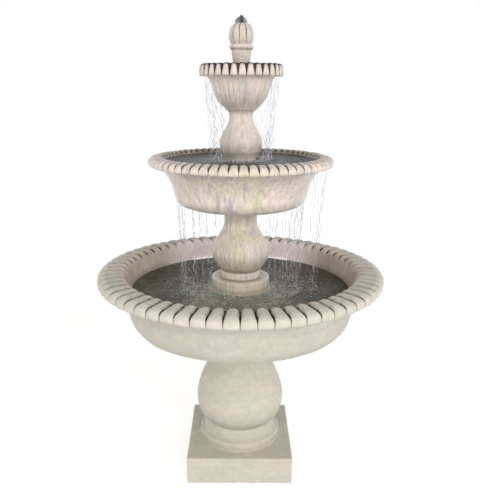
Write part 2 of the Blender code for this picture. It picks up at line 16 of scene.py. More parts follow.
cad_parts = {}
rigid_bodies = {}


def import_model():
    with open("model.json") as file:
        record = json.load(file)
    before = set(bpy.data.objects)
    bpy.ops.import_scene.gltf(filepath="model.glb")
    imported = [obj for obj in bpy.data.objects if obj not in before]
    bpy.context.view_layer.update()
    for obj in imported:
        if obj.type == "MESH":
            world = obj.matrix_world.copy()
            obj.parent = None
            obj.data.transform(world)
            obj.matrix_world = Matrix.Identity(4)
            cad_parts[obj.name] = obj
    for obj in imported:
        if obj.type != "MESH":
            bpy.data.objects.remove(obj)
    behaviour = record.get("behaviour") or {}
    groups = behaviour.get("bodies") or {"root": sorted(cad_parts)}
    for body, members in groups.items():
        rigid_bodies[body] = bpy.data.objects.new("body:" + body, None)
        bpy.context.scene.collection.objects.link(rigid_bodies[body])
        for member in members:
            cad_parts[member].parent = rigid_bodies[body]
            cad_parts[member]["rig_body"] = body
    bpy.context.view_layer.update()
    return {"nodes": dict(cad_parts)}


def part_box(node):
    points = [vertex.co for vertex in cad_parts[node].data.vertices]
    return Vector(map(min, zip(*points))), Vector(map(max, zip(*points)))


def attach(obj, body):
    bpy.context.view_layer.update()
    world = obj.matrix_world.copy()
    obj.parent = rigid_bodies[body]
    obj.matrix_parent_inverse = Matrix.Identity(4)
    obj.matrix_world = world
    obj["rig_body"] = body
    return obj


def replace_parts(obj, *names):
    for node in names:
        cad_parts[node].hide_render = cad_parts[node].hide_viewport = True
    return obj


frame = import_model()

GAP = 0.0003  # clearance that the CAD leaves between castings
EYE = (-0.002, -2.305, 1.564)  # the camera
EYE_PITCH, EYE_ROLL = 0.2606, radians(0.25)
LENS = 42.86
ZENITH = 0.5  # how bright the studio is straight above, against 1 at the horizon
KEY_POWER, LAMP_POWER = 0.6, 8.0  # the broad key light and the two small lamps that make the wet glints
FLOOR_GLOW = 0.4  # keeps the floor white under the fountain

# Heights on which the castings stand, all from the frame
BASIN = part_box("main_basin")[0].z
HOUSING, LOWER = (corner.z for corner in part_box("pump_housing"))
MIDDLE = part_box("middle_bowl")[0].z
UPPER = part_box("upper_column")[0].z
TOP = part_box("top_bowl")[0].z
FINIAL, FINIAL_TOP = (corner.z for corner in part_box("finial"))
PLINTH_HALF, _, PEDESTAL_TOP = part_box("pedestal")[1]

# Water levels
MAIN_LEVEL = BASIN + 0.16
MIDDLE_LEVEL = MIDDLE + 0.183
TOP_LEVEL = TOP + 0.148

LOWER_BORE = 0.031  # through the housing's top and the lower column
UPPER_BORE = 0.022
PEG = 0.038  # the register between a column and a bowl
PEG_DEPTH = 0.006


# ------------ outlines and meshes
def flow(points, step=0.004):
    """A smooth curve through the points (centripetal Catmull-Rom), sampled about every step metres."""
    p = np.array(points, float)
    p = np.vstack([2 * p[0] - p[1], p, 2 * p[-1] - p[-2]])
    curve = [p[1]]
    for a, b, c, d in zip(p, p[1:], p[2:], p[3:]):
        t1 = np.linalg.norm(b - a) ** 0.5
        t2 = t1 + np.linalg.norm(c - b) ** 0.5
        t3 = t2 + np.linalg.norm(d - c) ** 0.5
        count = max(1, ceil(np.linalg.norm(c - b) / step))
        for i in range(1, count + 1):
            t = t1 + (t2 - t1) * i / count
            ab = ((t1 - t) * a + t * b) / t1
            bc = ((t2 - t) * b + (t - t1) * c) / (t2 - t1)
            cd = ((t3 - t) * c + (t - t2) * d) / (t3 - t2)
            abc = ((t2 - t) * ab + t * bc) / t2
            bcd = ((t3 - t) * bc + (t - t1) * cd) / (t3 - t1)
            curve.append(((t2 - t) * abc + (t - t1) * bcd) / (t2 - t1))
    return np.array(curve)


def straight(points, step=0.012):
    """The points joined by straight runs, sampled about every step metres."""
    p = np.array(points, float)
    run = [p[0]]
    for a, b in zip(p, p[1:]):
        count = max(1, ceil(np.linalg.norm(b - a) / step))
        run += [a + (b - a) * i / count for i in range(1, count + 1)]
    return np.array(run)


def share(curve):
    """Each point's place along the curve, from 0 to 1."""
    run = np.concatenate([[0], np.cumsum(np.linalg.norm(np.diff(curve, axis=0), axis=1))])
    return run / run[-1]


def lifted(points, foot):
    return [(radius, height + foot) for radius, height in points]


def even_angles(columns):
    return 2 * pi * np.arange(columns) / columns


def polar(radius, angle):
    return radius * cos(angle), radius * sin(angle)


def round_rings(curve, angles):
    """Rings of points (rows, columns, 3) from a (radius, height) curve."""
    reach, height = curve[:, :1], curve[:, 1:]
    x, y = reach * np.cos(angles), reach * np.sin(angles)
    return np.stack([x, y, np.broadcast_to(height, x.shape)], axis=-1)


def faced(points, faces):
    mesh = bpy.data.meshes.new("mesh")
    mesh.from_pydata(points, [], faces)
    return mesh


def ring_mesh(rings, closed, **marks):
    """A mesh skinned over the rings, and back to the first when closed. Each of marks is a value for each
    point, kept as a mesh attribute of that name."""
    rows, columns = rings.shape[:2]
    index = np.arange(rows * columns).reshape(rows, columns)
    low = index if closed else index[:-1]
    high = np.roll(index, -1, axis=0) if closed else index[1:]
    faces = np.stack([low, np.roll(low, -1, 1), np.roll(high, -1, 1), high], axis=-1).reshape(-1, 4)
    mesh = faced(rings.reshape(-1, 3).tolist(), faces.tolist())
    for mark, values in marks.items():
        attribute = mesh.attributes.new(mark, "FLOAT", "POINT")
        attribute.data.foreach_set("value", values.astype(np.float32).ravel())
    return mesh


def weld(mesh):
    """Joins the points that lie on the axis."""
    bm = bmesh.new()
    bm.from_mesh(mesh)
    bmesh.ops.remove_doubles(bm, verts=bm.verts, dist=1e-5)
    bm.to_mesh(mesh)
    bm.free()


def uneven(mesh, size, amount, seed=0.0):
    """Moves each point along its normal by smooth noise, as a hand-finished mould leaves the surface."""
    count = len(mesh.vertices)
    places, normals = np.empty(count * 3), np.empty(count * 3)
    mesh.vertices.foreach_get("co", places)
    mesh.vertex_normals.foreach_get("vector", normals)
    places, normals = places.reshape(-1, 3), normals.reshape(-1, 3)
    shift = np.array([noise.noise(Vector(place) / size + Vector((seed, 0, 0))) for place in places])
    places += normals * (amount * shift)[:, None]
    mesh.vertices.foreach_set("co", places.ravel())
    mesh.update()


def linked(name, data):
    """A new object of the scene that holds the data."""
    obj = bpy.data.objects.new(name, data)
    bpy.context.scene.collection.objects.link(obj)
    return obj


def placed(name, mesh, body, finish, sharp=40):
    """The mesh as a piece that rides on the body, with edges sharper than the angle kept crisp."""
    mesh.name = name
    mesh.materials.append(finish)
    mesh.shade_smooth()
    mesh.set_sharp_from_angle(angle=radians(sharp))
    obj = linked(name, mesh)
    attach(obj, body)
    return obj


def stand_in(node, mesh, finish, sharp=40, ending="_casting"):
    """Places the fine mesh that stands for a CAD node, on the node's own body."""
    body = frame["nodes"][node]["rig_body"]
    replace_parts(placed(node + ending, mesh, body, finish, sharp), node)


def carved(mesh, *cutters):
    """The mesh with each closed cutter taken out of it."""
    obj = linked("carving", mesh)
    tools = [linked("cutter", cutter) for cutter in cutters]
    for tool in tools:
        modifier = obj.modifiers.new("cut", "BOOLEAN")
        modifier.operation = "DIFFERENCE"
        modifier.object = tool
    bpy.context.view_layer.update()
    graph = bpy.context.evaluated_depsgraph_get()
    done = bpy.data.meshes.new_from_object(obj.evaluated_get(graph))
    for extra in [obj] + tools:
        bpy.data.objects.remove(extra)
    return done


def solid(rings):
    """A closed mesh over the rings, with both ends capped."""
    mesh = ring_mesh(rings, False)
    bm = bmesh.new()
    bm.from_mesh(mesh)
    bmesh.ops.holes_fill(bm, edges=[edge for edge in bm.edges if edge.is_boundary])
    bmesh.ops.recalc_face_normals(bm, faces=bm.faces)
    bm.to_mesh(mesh)
    bm.free()
    return mesh


def arch_cutter(width, height, low, start, end):
    """A round-topped tunnel along the level line from start to end, as a closed mesh."""
    half = width / 2
    springing = low + height - half
    side = Vector((end[1] - start[1], start[0] - end[0], 0)).normalized()
    arch = [(-half, low - 0.01), (half, low - 0.01)]
    arch += [(half * cos(pi * i / 24), springing + half * sin(pi * i / 24)) for i in range(25)]
    ends = [[(x + side.x * away, y + side.y * away, up) for away, up in arch] for x, y in (start, end)]
    return solid(np.array(ends))


# ------------ materials
def rgb(red, green, blue):
    """A colour given as 0 to 255 display values, in the linear values that Blender wants."""
    values = [v / 255 for v in (red, green, blue)]
    linear = [v / 12.92 if v <= 0.04045 else ((v + 0.055) / 1.055) ** 2.4 for v in values]
    return (*linear, 1.0)


class Tree:
    """Short-hand for wiring one material's nodes."""

    def __init__(self, name):
        self.material = bpy.data.materials.new(name)
        self.material.use_nodes = True
        self.nodes = self.material.node_tree.nodes
        self.links = self.material.node_tree.links
        self.shader = self.nodes["Principled BSDF"]
        self.place = self.add("TexCoord").outputs["Object"]

    def add(self, kind, settings=None, **sockets):
        made = self.nodes.new("ShaderNode" + kind)
        for name, value in (settings or {}).items():
            setattr(made, name, value)
        self.set(made, **sockets)
        return made

    def feed(self, socket, value):
        if isinstance(value, bpy.types.NodeSocket):
            self.links.new(value, socket)
        else:
            socket.default_value = value

    def set(self, node=None, **sockets):
        for name, value in sockets.items():
            self.feed((node or self.shader).inputs[name.replace("_", " ")], value)

    def stretched(self, x, y, z, shift=0.0):
        """The object's coordinates, stretched along each axis and shifted off other patterns."""
        offset = (shift, shift * 0.7, shift * 1.3)
        return self.add("Mapping", Vector=self.place, Scale=(x, y, z), Location=offset).outputs["Vector"]

    def cloud(self, scale, detail=3.0, roughness=0.55, shift=0.0, vector=None, distortion=0.0):
        place = vector or self.stretched(1, 1, 1, shift)
        made = self.add("TexNoise", Vector=place, Scale=scale, Detail=detail, Roughness=roughness)
        self.feed(made.inputs["Distortion"], distortion)
        return made.outputs["Fac"]

    def span(self, value, low, high, to_low=0.0, to_high=1.0):
        """The value taken smoothly from the range low to high into the range to_low to to_high."""
        ranges = {"From_Min": low, "From_Max": high, "To_Min": to_low, "To_Max": to_high}
        made = self.add("MapRange", {"interpolation_type": "SMOOTHSTEP"}, Value=value, **ranges)
        return made.outputs["Result"]

    def math(self, operation, first, second):
        made = self.add("Math", {"operation": operation})
        self.feed(made.inputs[0], first)
        self.feed(made.inputs[1], second)
        return made.outputs[0]

    def times(self, first, second):
        return self.math("MULTIPLY", first, second)

    def mix(self, factor, first, second, mode="MIX"):
        made = self.add("Mix", {"data_type": "RGBA", "blend_type": mode})
        self.feed(made.inputs[0], factor)
        self.feed(made.inputs[6], first)
        self.feed(made.inputs[7], second)
        return made.outputs[2]

    def mark(self, name):
        """A mesh attribute, which is 0 on a mesh that has none of that name."""
        return self.add("Attribute", {"attribute_name": name}).outputs["Fac"]

    def shaded(self, colour, value):
        grey = self.add("CombineColor", Red=value, Green=value, Blue=value).outputs[0]
        return self.mix(1.0, colour, grey, "MULTIPLY")

    def coordinates(self):
        return self.add("SeparateXYZ", Vector=self.place).outputs

    def facing_up(self):
        """1 on a level top, 0 on an upright side and -1 underneath."""
        return self.add("SeparateXYZ", Vector=self.add("NewGeometry").outputs["Normal"]).outputs["Z"]

    def bump(self, height, distance, strength=1.0, normal=None):
        made = self.add("Bump", Height=height, Distance=distance, Strength=strength)
        if normal:
            self.links.new(normal, made.inputs["Normal"])
        return made.outputs["Normal"]


def cast_stone(
    name, tones, groove_tone, wet=0.0, waterline=None, inner_stain_and_shade_tone=None, body=1.0, painted_far_wall_light=None, algae=0.0,
    under=0.78,
):
    """Cast stone: a base tone with two patch tones, sandy grain, pits, stained grooves and wet streaks.

    A bowl's mesh marks its dry side and its rim: what is inside darkens towards the waterline, the body
    below the rim takes the shade given as body, inner_stain_and_shade_tone darkens the inner wall in patches
    as stain and painted shade, and painted_far_wall_light is painted light that tints the far inner wall.
    algae is the strength of the green down the middle, and under is the painted shade of what faces down."""
    tree = Tree(name)
    mix, span, cloud, times = tree.mix, tree.span, tree.cloud, tree.times
    mark, shaded, stretched = tree.mark, tree.shaded, tree.stretched
    base, warm, cool = tones
    colour = mix(span(cloud(6.5, 4, 0.6), 0.44, 0.64), base, warm)
    colour = mix(span(cloud(9.0, 4, 0.62, shift=3.1), 0.5, 0.68), colour, cool)
    x, y, z = tree.coordinates()
    if algae:
        middle = span(tree.math("ABSOLUTE", x, 0.0), 0.04, 0.17, 1.0, 0.12)
        patchy = cloud(1.0, 4, 0.65, vector=stretched(30, 30, 4, 2.0))
        growth = span(patchy, 0.38, 0.6, 0.0, algae)
        colour = mix(times(middle, growth), colour, ALGAE)
    if not wet:
        brushed = cloud(1.0, 4, 0.6, vector=stretched(7, 7, 110))
        colour = shaded(colour, span(brushed, 0.34, 0.66, 0.965, 1.02))
    blotch = span(cloud(34.0, 5, 0.7, shift=7.0), 0.3, 0.72, 0.94, 1.06)
    grain = span(cloud(260.0, 4, 0.75), 0.3, 0.7, 0.91 - 0.07 * wet, 1.08 + 0.12 * wet)
    sand = span(cloud(900.0, 2, 0.6, shift=1.7), 0.3, 0.7, 0.93, 1.06)
    value = times(times(blotch, grain), sand)
    colour = shaded(colour, value)
    run = cloud(1.0, 4, 0.65, vector=stretched(34, 34, 2.2), distortion=0.4)
    streak = span(run, 0.51, 0.65, 0.0, wet)
    colour = mix(streak, colour, MIST)
    fine = cloud(1.0, 5, 0.7, vector=stretched(95, 95, 5))
    thread = span(fine, 0.36, 0.64, 1 - 0.15 * wet, 1 + 0.15 * wet)
    colour = shaded(colour, thread)
    # Painted shade: faces that point downwards are darkened, down to the factor under.
    painted_underside_shade = span(tree.facing_up(), -0.7, 0.15, under, 1.0)
    shade = times(painted_underside_shade, span(mark("rim"), 0, 1, body, 1))
    colour = shaded(colour, shade)
    inner = tree.math("SUBTRACT", 1.0, mark("dry_side"))
    # Stain and painted shade: the inner wall is darkened in patches.
    if inner_stain_and_shade_tone:
        patch = span(cloud(12.0, 4, 0.6, shift=5.0), 0.3, 0.7, 0.45, 0.95)
        colour = mix(times(inner, patch), colour, inner_stain_and_shade_tone)
    ragged = tree.math("ADD", mark("groove"), times(cloud(170.0, 5, 0.75), 0.36))
    colour = mix(span(ragged, 0.46, 1.04), colour, groove_tone)
    if waterline:
        depth = tree.math("ADD", z, times(cloud(22.0, 3), 0.012))
        damp = span(depth, waterline + 0.008, waterline + 0.034, 0.45, 0.0)
        colour = mix(times(inner, damp), colour, rgb(112, 103, 82))
        # Painted light: the far inner wall is lightened and tinted, as if lit by the splashing water.
        if painted_far_wall_light:
            aside = span(tree.math("ABSOLUTE", x, 0.0), 0.25, 0.38, 0.92, 0.0)
            far = times(span(y, 0.2, 0.3), aside)
            colour = mix(times(inner, far), colour, painted_far_wall_light)
        sunk = span(depth, waterline - 0.01, waterline + 0.008, 1.0, 0.0)
        colour = mix(times(inner, sunk), colour, rgb(84, 82, 66))
    tree.set(Base_Color=colour)
    pits = tree.add("TexVoronoi", {"feature": "F1"}, Vector=stretched(1, 1, 1, 0.5), Scale=150.0)
    pit = span(pits.outputs["Distance"], 0.1, 0.26)
    normal = tree.bump(cloud(60.0, 5, 0.7), 0.0022, 0.6)
    normal = tree.bump(pit, 0.0007, 0.35, normal)
    normal = tree.bump(cloud(420.0, 4, 0.7), 0.0006, 0.55, normal)
    dry = span(cloud(30.0, 3), 0.3, 0.7, 0.74, 0.9)
    tree.set(Roughness=tree.math("SUBTRACT", dry, times(streak, 0.5)), Normal=normal)
    if wet:
        film = tree.bump(cloud(45.0, 4, 0.65), 0.0022, 0.6)
        tree.set(Coat_Weight=wet, Coat_Roughness=0.07, Coat_IOR=1.33, Coat_Normal=film)
    return tree.material


def plain_finish(name, tone, roughness, metallic=0.0, grain=0.06, size=140.0, relief=0.0002, **fixed):
    """A moulded or drawn material: slight mottling, handling marks in the roughness and a fine relief."""
    tree = Tree(name)
    cloud = tree.cloud(size, 4, 0.6)
    dark = tuple(v * (1 - 2.2 * grain) for v in tone[:3]) + (1.0,)
    tree.set(Base_Color=tree.mix(tree.span(cloud, 0.3, 0.7), dark, tone))
    handled = tree.cloud(size * 0.3, 3, shift=2.0)
    tree.set(Roughness=tree.span(handled, 0.3, 0.7, roughness * 0.8, roughness * 1.2))
    tree.set(Normal=tree.bump(tree.cloud(size * 4, 3), relief, 0.5), Metallic=metallic, **fixed)
    return tree.material


def pool_water(name, shallow, deep, ripple, shine, churned, stirred_tone):
    """Dark moving water, tinted by drifting patches, broken by ripples, and churned pale and white within
    the radius given, more so in front."""
    tree = Tree(name)
    drift = tree.span(tree.cloud(9.0, 4, 0.6, distortion=1.2), 0.36, 0.66)
    fleck = tree.span(tree.cloud(150.0, 5, 0.75, distortion=0.6), 0.49, 0.62, 0.0, 0.85)
    x, y, _ = tree.coordinates()
    y = tree.math("ADD", y, churned * 0.3)
    away = tree.math("SQRT", tree.math("ADD", tree.times(x, x), tree.times(y, y)), 0.0)
    stirred = tree.math("ADD", away, tree.times(tree.cloud(16.0, 4, 0.6, shift=4.0), 0.16))
    fleck = tree.times(fleck, tree.span(stirred, churned * 0.8, churned * 1.25, 1.0, 0.05))
    colour = tree.mix(drift, deep, shallow)
    pale = tree.span(stirred, churned * 0.6, churned * 1.15, 0.82, 0.0)
    colour = tree.mix(pale, colour, stirred_tone)
    tree.set(Base_Color=tree.mix(fleck, colour, rgb(176, 176, 160)), Roughness=0.1, IOR=1.33)
    tree.set(Specular_IOR_Level=shine)
    normal = tree.bump(tree.cloud(ripple, 3, 0.6, distortion=0.8), 0.006, 0.45)
    tree.set(Normal=tree.bump(tree.cloud(ripple * 4, 3, 0.6), 0.002, 0.4, normal))
    return tree.material


def falling_water(name, tone, low=0.0, high=0.1, at_low=1.0):
    """A broken thread of water, thin enough to see through, and fainter below high by down to at_low."""
    tree = Tree(name)
    tree.set(Base_Color=tone, Roughness=0.2, IOR=1.33)
    broken = tree.cloud(1.0, 4, 0.7, vector=tree.stretched(60, 60, 28))
    faint = tree.span(tree.coordinates()["Z"], low, high, at_low, 1.0)
    tree.set(Alpha=tree.times(tree.span(broken, 0.36, 0.68, 0.06, 0.62), faint))
    tree.set(Normal=tree.bump(tree.cloud(120.0, 3), 0.003, 0.5))
    return tree.material


CREAM = (rgb(200, 195, 180), rgb(203, 196, 182), rgb(197, 192, 177))
RIM_CREAM = (rgb(212, 206, 191), rgb(215, 208, 195), rgb(208, 203, 188))
BLUSH = (rgb(221, 207, 194), rgb(229, 210, 200), rgb(211, 203, 186))
ALGAE = rgb(205, 202, 172)
SOIL = rgb(58, 48, 32)
SOOT = rgb(24, 18, 10)
MIST = rgb(182, 177, 187)
# under=0.66 paints a deeper shade on the pedestal's downward faces.
STONE = cast_stone("stone", CREAM, SOIL, under=0.66)
# The inner tone is stain and painted shade, and the last colour is painted light on the far inner wall.
STONE_BASIN = cast_stone(
    "stone_basin", RIM_CREAM, SOOT, 0.0, MAIN_LEVEL, rgb(174, 158, 142), 0.9, rgb(252, 236, 234)
)
STONE_SPLASHED = cast_stone("stone_splashed", BLUSH, SOIL, 0.75, MAIN_LEVEL, body=1.03, algae=0.8)
STONE_MIDDLE = cast_stone(
    "stone_middle", BLUSH, SOOT, 0.82, MIDDLE_LEVEL, rgb(150, 136, 124), body=1.05, algae=0.7
)
# The top bowl's dark inner tone is mostly painted shade, where its far wall lies in shade.
STONE_TOP = cast_stone("stone_top", BLUSH, SOOT, 0.6, TOP_LEVEL, rgb(110, 98, 84))
STONE_UPPER = cast_stone("stone_upper", BLUSH, SOIL, 0.6)


# ------------ castings
def bead_angles(beads, phase, rng, jitter):
    """Column angles that crowd towards the uneven grooves, each one's share of the way across its bead, and
    the bead that it belongs to."""
    half = [0, 0.022, 0.045, 0.075, 0.12, 0.2, 0.33]
    across = np.array(half + [0.5] + [1 - part for part in half[:0:-1]])
    pitch = 2 * pi / beads
    grooves = phase + pitch * np.arange(beads) + rng.uniform(-jitter, jitter, beads)
    following = np.append(grooves[1:], grooves[0] + 2 * pi)
    angles = grooves[:, None] + across * (following - grooves)[:, None]
    return angles.ravel(), np.tile(across, beads), np.repeat(np.arange(beads), len(across))


def loaf(distance, half_width, gap):
    """How far into a groove a point lies: 1 on its floor, falling to 0 at the middle of the bead."""
    u = 1 - np.clip((distance - gap) / (half_width - gap), 0, 1)
    return 1 - (1 - u**2) ** 0.5


def beaded_bowl(foot, outside, rim, inside, beads, core, grooves, seed, phase, closed=True, flute=0.0):
    """A bowl with a beaded rim, and with flutes of the given depth down its body in line with the grooves.

    outside and inside are sampled curves up to and down from the rim; core is the point that the grooves
    point to, and grooves holds rows of (share along the rim, depth, half gap, stain, stain on the beads too).
    """
    rng = np.random.default_rng(seed)
    angles, across, bead = bead_angles(beads, phase, rng, 0.0011)
    rim_curve = flow(lifted(rim, foot), 0.0035)
    curve = np.vstack([outside, rim_curve, inside])
    rings = round_rings(curve, angles)
    groove, dry_side, rim_mark = np.zeros((3, *rings.shape[:2]))
    first = len(outside)
    dry_side[:first] = 1
    rim_mark[first:] = 1
    along, depth_at, gap_at, stain_at, film_at = (np.array(row) for row in zip(*grooves))
    place = share(rim_curve)
    nearest = np.minimum(across, 1 - across)
    if flute:
        for i, height in enumerate(outside[:, 1]):
            reach = np.interp(height - foot, (0.006, 0.03, 0.1, 0.12), (0, 1, 1, 0.4))
            dip = reach * (1 - 2 * nearest) ** 2.5
            rings[i, :, :2] *= (1 - flute * dip / outside[i, 0])[:, None]
            groove[i] = 0.5 * dip
    vary = rng.uniform(0.9, 1.1, beads)[bead]
    puff = rng.uniform(-0.0006, 0.0006, beads)[bead]
    for i, (radius, height) in enumerate(rim_curve):
        depth = np.interp(place[i], along, depth_at)
        gap = np.interp(place[i], along, gap_at)
        pitch = 2 * pi * radius / beads
        inward = np.array([core[0] - radius, core[1] + foot - height])
        inward /= np.linalg.norm(inward)
        sink = loaf(nearest * pitch, pitch / 2, gap)
        step = depth * vary * sink + puff * (1 - sink) * min(1, depth / 0.004)
        reach = radius + inward[0] * step
        rings[first + i, :, 0] = reach * np.cos(angles)
        rings[first + i, :, 1] = reach * np.sin(angles)
        rings[first + i, :, 2] = height + inward[1] * step
        film = np.interp(place[i], along, film_at)
        groove[first + i] = film + sink**1.8 * max(0.0, np.interp(place[i], along, stain_at) - film)
        dry_side[first + i] = np.interp(place[i], (0.72, 0.92), (1, 0))
    mesh = ring_mesh(rings, closed, groove=groove, dry_side=dry_side, rim=rim_mark)
    if not closed:
        weld(mesh)
    uneven(mesh, 0.09, 0.0012, seed)
    uneven(mesh, 0.018, 0.0004, seed + 5)
    return mesh


def main_basin():
    underside = [(0.0, 0.0), (0.2, 0.0), (0.3, 0.0024), (0.395, 0.0074), (0.425, 0.0184)]
    body = [
        (0.425, 0.0184), (0.443, 0.0424), (0.456, 0.0854), (0.468, 0.1314), (0.482, 0.1714), (0.5, 0.1904),
    ]
    rim = [
        (0.538, 0.1915), (0.562, 0.1985), (0.571, 0.205), (0.573, 0.213), (0.5722, 0.226), (0.566, 0.235),
        (0.55, 0.241), (0.525, 0.244), (0.5, 0.2455), (0.482, 0.2445), (0.469, 0.2375), (0.461, 0.222),
    ]
    wall = [
        (0.457, 0.198), (0.45, 0.175), (0.4405, 0.1524), (0.42, 0.1144), (0.39, 0.0764), (0.335, 0.0484),
        (0.26, 0.0364),
    ]
    floor = straight(lifted(underside[:3], BASIN), 0.05)
    turn = flow(lifted(underside[2:], BASIN), 0.012)[1:]
    outside = np.vstack([floor, turn, flow(lifted(body, BASIN), 0.007)[1:]])
    inside = np.vstack([flow(lifted(wall, BASIN), 0.008), [(0.12, BASIN + 0.0364), (0.0, BASIN + 0.0364)]])
    grooves = [
        (0.0, 0.003, 0.0005, 0.45, 0.0), (0.15, 0.0055, 0.0006, 0.6, 0.0),
        (0.29, 0.0085, 0.0008, 0.8, 0.0), (0.38, 0.013, 0.0022, 1.0, 0.0),
        (0.44, 0.015, 0.0028, 1.0, 0.2), (0.5, 0.015, 0.0022, 0.94, 0.4),
        (0.62, 0.015, 0.0014, 0.84, 0.42), (0.74, 0.017, 0.0019, 0.92, 0.42),
        (0.83, 0.0165, 0.0042, 1.0, 0.34), (0.91, 0.012, 0.004, 1.0, 0.16),
        (0.97, 0.006, 0.0022, 0.8, 0.0), (1.0, 0.0, 0.0004, 0.0, 0.0),
    ]
    core, phase = (0.516, 0.21), -pi / 2
    mesh = beaded_bowl(BASIN, outside, rim, inside, 64, core, grooves, 11, phase, closed=False)
    stopper_low, stopper_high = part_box("basin_stopper")
    centre = (stopper_low + stopper_high) / 2
    hole = straight([(0.0135, BASIN - 0.01), (0.017, BASIN + 0.05)], 1.0)
    rings = round_rings(hole, even_angles(48)) + np.array([centre.x, centre.y, 0])
    stand_in("main_basin", carved(mesh, solid(rings)), STONE_BASIN, 48)


def raised_bowl(node, foot, side, rim, wall, hole, steps, beads, core, grooves, seed, phase, finish, flute=0):
    """A bowl on a column's peg. hole is the stopper's hole as (radius, height) at the floor and the socket,
    and steps are the sampling of the side and of the inner wall."""
    seat = straight(lifted([(PEG, 0.0), side[0]], foot), 0.02)
    outside = np.vstack([seat, flow(lifted(side, foot), steps[0])[1:]])
    outlet = straight(lifted(hole + [(PEG, PEG_DEPTH), (PEG, 0.0)], foot), 0.03)[:-1]
    inside = np.vstack([flow(lifted(wall, foot), steps[1]), outlet])
    mesh = beaded_bowl(foot, outside, rim, inside, beads, core, grooves, seed, phase, flute=flute)
    stand_in(node, mesh, finish, 48)


def middle_bowl():
    side = [
        (0.128, 0.001), (0.185, 0.0015), (0.222, 0.007), (0.246, 0.019), (0.258, 0.039), (0.265, 0.069),
        (0.277, 0.103), (0.296, 0.135), (0.322, 0.1615),
    ]
    rim = [
        (0.347, 0.163), (0.3565, 0.1665), (0.359, 0.173), (0.3585, 0.1845), (0.3515, 0.194),
        (0.336, 0.1985), (0.318, 0.2015), (0.306, 0.1975), (0.299, 0.185),
    ]
    wall = [(0.295, 0.17), (0.284, 0.143), (0.262, 0.096), (0.235, 0.057), (0.2, 0.037), (0.15, 0.031)]
    hole = [(0.0192, 0.031), (0.0162, PEG_DEPTH)]
    grooves = [
        (0.0, 0.002, 0.0005, 0.55, 0.0), (0.14, 0.0035, 0.0006, 0.65, 0.0),
        (0.24, 0.0055, 0.0009, 0.8, 0.0), (0.32, 0.009, 0.0018, 1.0, 0.0),
        (0.42, 0.01, 0.0024, 1.0, 0.15), (0.52, 0.008, 0.0022, 1.0, 0.38),
        (0.68, 0.0075, 0.0022, 1.0, 0.4), (0.84, 0.009, 0.0036, 1.0, 0.4),
        (0.94, 0.006, 0.0034, 1.0, 0.3), (1.0, 0.0, 0.001, 0.4, 0.1),
    ]
    raised_bowl(
        "middle_bowl", MIDDLE, side, rim, wall, hole, (0.006, 0.008), 64, (0.329, 0.18), grooves, 23,
        -pi / 2 - radians(1.25), STONE_MIDDLE,
    )


def top_bowl():
    side = [
        (0.056, 0.0), (0.0607, 0.005), (0.0748, 0.019), (0.0874, 0.0315), (0.1015, 0.056), (0.1103, 0.08),
        (0.116, 0.102), (0.123, 0.116), (0.132, 0.1235),
    ]
    rim = [
        (0.154, 0.1245), (0.1578, 0.1262), (0.1586, 0.131), (0.1586, 0.148), (0.156, 0.161), (0.146, 0.169),
        (0.1335, 0.1655), (0.126, 0.154), (0.1215, 0.138),
    ]
    wall = [(0.115, 0.12), (0.099, 0.075), (0.078, 0.045), (0.054, 0.03)]
    hole = [(0.0162, 0.03), (0.0132, PEG_DEPTH)]
    grooves = [
        (0.0, 0.0025, 0.0008, 0.7, 0.45), (0.09, 0.0045, 0.0012, 0.85, 0.34),
        (0.22, 0.007, 0.002, 0.98, 0.3), (0.34, 0.0105, 0.0036, 1.0, 0.34),
        (0.43, 0.0105, 0.0044, 1.0, 0.42), (0.49, 0.005, 0.0046, 1.0, 0.74),
        (0.56, 0.002, 0.0034, 1.0, 0.88), (0.8, 0.003, 0.003, 1.0, 0.7),
        (0.93, 0.002, 0.0016, 0.9, 0.5), (1.0, 0.0, 0.0004, 0.6, 0.5),
    ]
    raised_bowl(
        "top_bowl", TOP, side, rim, wall, hole, (0.004, 0.006), 32, (0.142, 0.142), grooves, 37,
        -pi / 2 + radians(6.9), STONE_TOP, flute=0.0031,
    )


def turned_casting(node, finish, curve, foot, columns, stains, roughness=0.0006, cutters=()):
    """A casting turned on the curve and stood at foot. stains holds rows of (share of the curve, stain)."""
    stain = np.repeat(np.interp(share(curve), *zip(*stains))[:, None], columns, axis=1)
    rings = round_rings(curve + np.array([0, foot]), even_angles(columns))
    mesh = ring_mesh(rings, True, groove=stain)
    uneven(mesh, 0.06, roughness * 1.6, 3.0)
    uneven(mesh, 0.014, roughness * 0.5, 9.0)
    if cutters:
        mesh = carved(mesh, *cutters)
    stand_in(node, mesh, finish)


def stained(curve, heights):
    """Rows of (share along the curve, stain) from rows of (height, stain), for the curve's outer side."""
    start = int(np.argmax(curve[:, 0] > PEG + 0.001))
    places, levels = share(curve)[start:], np.maximum.accumulate(curve[start:, 1])
    return [(0, 0)] + [(np.interp(height, levels, places), stain) for height, stain in heights]


